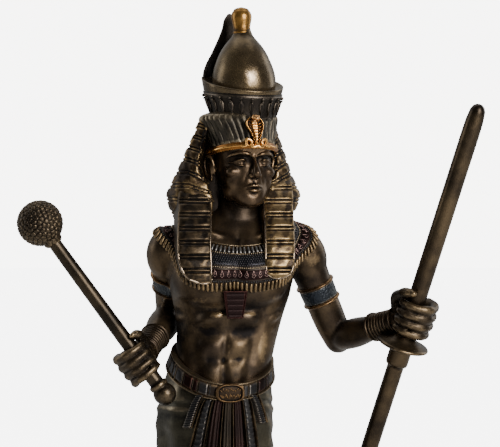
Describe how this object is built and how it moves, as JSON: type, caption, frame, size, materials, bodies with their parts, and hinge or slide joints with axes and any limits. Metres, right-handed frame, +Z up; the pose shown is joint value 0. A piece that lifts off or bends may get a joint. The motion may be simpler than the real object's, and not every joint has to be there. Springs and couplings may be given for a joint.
{
  "type": "egyptian pharaoh statue",
  "caption": "Standing Egyptian king in crown, striped head cloth, broad collar and pleated kilt, holding a mace and a long staff, cast in bronze resin on a low plinth.",
  "frame": {"origin": "centre of the plinth's flat underside", "axes": "+Z up; the king faces -Y, and +X is his own left, the side of the staff"},
  "size_m": [0.1646, 0.102, 0.3058],
  "materials": {
    "bronze_figure": "cold-cast bronze resin, dark in the hollows and rubbed to gold on the high places, with muted blue, grey-blue and dark red enamel on the collar, belt and apron",
    "mace_bronze": "dark cold-cast bronze, pebbled on the ball and rubbed along the shaft",
    "staff_bronze": "dark cold-cast bronze with long rubbed streaks"
  },
  "bodies": {
    "root": {"figure_with_plinth": "bronze_figure", "mace": "mace_bronze", "staff": "staff_bronze"}
  },
  "joints": []
}
